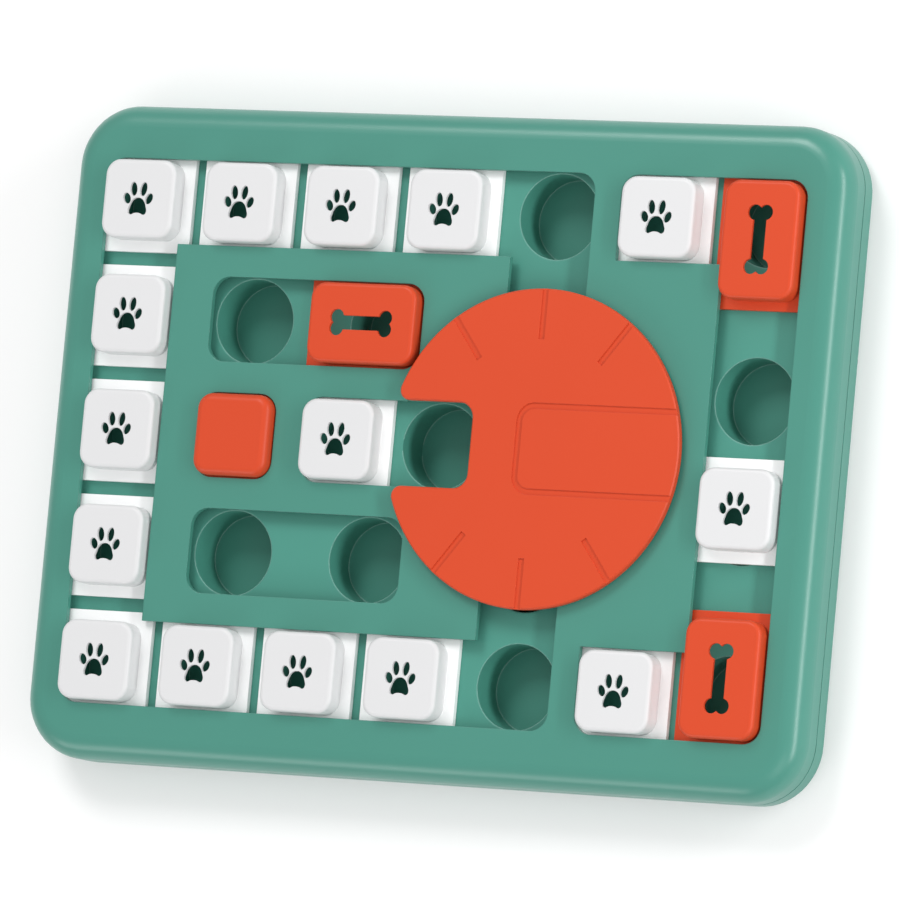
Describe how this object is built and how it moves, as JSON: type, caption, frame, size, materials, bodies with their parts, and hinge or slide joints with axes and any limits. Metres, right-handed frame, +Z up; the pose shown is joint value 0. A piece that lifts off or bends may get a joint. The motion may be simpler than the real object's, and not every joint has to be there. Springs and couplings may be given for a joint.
{
  "type": "dog puzzle feeder board",
  "caption": "Flat dog puzzle feeder with food wells under sliding paw and bone blocks, a notched turning dial and a squeaker button.",
  "frame": {"origin": "on the ground under the middle of the board", "axes": "+X along the board's long side towards the short track, +Y across it towards the upper long side, +Z up out of the playing face"},
  "size_m": [0.2996, 0.2324, 0.0303],
  "materials": {
    "green_shell": "satin",
    "green_tray": "satin",
    "orange_plastic": "satin",
    "white_plastic": "satin",
    "feet_rubber": "matte",
    "bulb_rubber": "matte",
    "reed_plastic": "satin",
    "screw_steel": "satin"
  },
  "bodies": {
    "board": {"top_cover": "green_shell", "base_shell": "green_shell", "tray_top_row": "green_tray", "tray_bottom_row": "green_tray", "tray_left_column": "green_tray", "tray_upper_slot": "green_tray", "tray_middle": "green_tray", "tray_lower_slot": "green_tray", "tray_right_upper": "green_tray", "tray_right_lower": "green_tray", "island_plate": "green_shell", "rubber_feet": "feet_rubber", "housing_screws": "screw_steel", "island_screws": "screw_steel", "squeaker_bulb": "bulb_rubber", "squeaker_reed": "reed_plastic"},
    "dial": {"dial": "orange_plastic", "dial_washer": "screw_steel", "dial_screw": "screw_steel"},
    "squeaker_button": {"squeaker_button": "orange_plastic"},
    "paw_slider_top_1": {"paw_slider_top_1": "white_plastic"},
    "paw_slider_top_2": {"paw_slider_top_2": "white_plastic"},
    "paw_slider_top_3": {"paw_slider_top_3": "white_plastic"},
    "paw_slider_top_4": {"paw_slider_top_4": "white_plastic"},
    "paw_slider_bottom_1": {"paw_slider_bottom_1": "white_plastic"},
    "paw_slider_bottom_2": {"paw_slider_bottom_2": "white_plastic"},
    "paw_slider_bottom_3": {"paw_slider_bottom_3": "white_plastic"},
    "paw_slider_bottom_4": {"paw_slider_bottom_4": "white_plastic"},
    "paw_slider_left_2": {"paw_slider_left_2": "white_plastic"},
    "paw_slider_left_3": {"paw_slider_left_3": "white_plastic"},
    "paw_slider_left_4": {"paw_slider_left_4": "white_plastic"},
    "paw_slider_corner_upper": {"paw_slider_corner_upper": "white_plastic"},
    "paw_slider_corner_lower": {"paw_slider_corner_lower": "white_plastic"},
    "paw_slider_right": {"paw_slider_right": "white_plastic"},
    "paw_slider_middle": {"paw_slider_middle": "white_plastic"},
    "bone_slider_upper": {"bone_slider_upper": "orange_plastic"},
    "bone_slider_lower": {"bone_slider_lower": "orange_plastic"},
    "bone_slider_middle": {"bone_slider_middle": "orange_plastic"}
  },
  "joints": [
    {"name": "dial_turn", "type": "hinge", "parent": "board", "child": "dial", "pos_m": [0.0416, 0, 0.0255], "axis": [0, 0, 1], "range_deg": [0, 360]},
    {"name": "squeaker_press", "type": "slide", "parent": "board", "child": "squeaker_button", "axis": [0, 0, -1], "range_m": [0, 0.0025], "stiffness_N_per_m": 800, "springref_m": -0.001, "deforming": ["squeaker_bulb"]},
    {"name": "top_row_slide_1", "type": "slide", "parent": "board", "child": "paw_slider_top_1", "axis": [1, 0, 0], "range_m": [0, 0.0037]},
    {"name": "top_row_slide_2", "type": "slide", "parent": "board", "child": "paw_slider_top_2", "axis": [1, 0, 0], "range_m": [-0.0037, 0.0037]},
    {"name": "top_row_slide_3", "type": "slide", "parent": "board", "child": "paw_slider_top_3", "axis": [1, 0, 0], "range_m": [-0.0037, 0.0037]},
    {"name": "top_row_slide_4", "type": "slide", "parent": "board", "child": "paw_slider_top_4", "axis": [1, 0, 0], "range_m": [-0.0037, 0.04]},
    {"name": "bottom_row_slide_1", "type": "slide", "parent": "board", "child": "paw_slider_bottom_1", "axis": [1, 0, 0], "range_m": [0, 0.0037]},
    {"name": "bottom_row_slide_2", "type": "slide", "parent": "board", "child": "paw_slider_bottom_2", "axis": [1, 0, 0], "range_m": [-0.0037, 0.0037]},
    {"name": "bottom_row_slide_3", "type": "slide", "parent": "board", "child": "paw_slider_bottom_3", "axis": [1, 0, 0], "range_m": [-0.0037, 0.0037]},
    {"name": "bottom_row_slide_4", "type": "slide", "parent": "board", "child": "paw_slider_bottom_4", "axis": [1, 0, 0], "range_m": [-0.0037, 0.04]},
    {"name": "left_column_slide_2", "type": "slide", "parent": "board", "child": "paw_slider_left_2", "axis": [0, 1, 0], "range_m": [-0.0045, 0.0045]},
    {"name": "left_column_slide_3", "type": "slide", "parent": "board", "child": "paw_slider_left_3", "axis": [0, 1, 0], "range_m": [-0.0045, 0.0045]},
    {"name": "left_column_slide_4", "type": "slide", "parent": "board", "child": "paw_slider_left_4", "axis": [0, 1, 0], "range_m": [-0.0045, 0.0045]},
    {"name": "corner_slide_upper", "type": "slide", "parent": "board", "child": "paw_slider_corner_upper", "axis": [1, 0, 0], "range_m": [-0.0014, 0.0027]},
    {"name": "corner_slide_lower", "type": "slide", "parent": "board", "child": "paw_slider_corner_lower", "axis": [1, 0, 0], "range_m": [-0.0014, 0.0027]},
    {"name": "right_column_slide", "type": "slide", "parent": "board", "child": "paw_slider_right", "axis": [0, -1, 0], "range_m": [-0.0496, 0.0152]},
    {"name": "middle_slot_slide", "type": "slide", "parent": "board", "child": "paw_slider_middle", "axis": [1, 0, 0], "range_m": [0, 0.0366]},
    {"name": "upper_bone_slide", "type": "slide", "parent": "board", "child": "bone_slider_upper", "axis": [0, -1, 0], "range_m": [0, 0.0496]},
    {"name": "lower_bone_slide", "type": "slide", "parent": "board", "child": "bone_slider_lower", "axis": [0, -1, 0], "range_m": [-0.0152, 0]},
    {"name": "middle_bone_slide", "type": "slide", "parent": "board", "child": "bone_slider_middle", "axis": [1, 0, 0], "range_m": [-0.0396, 0]}
  ]
}
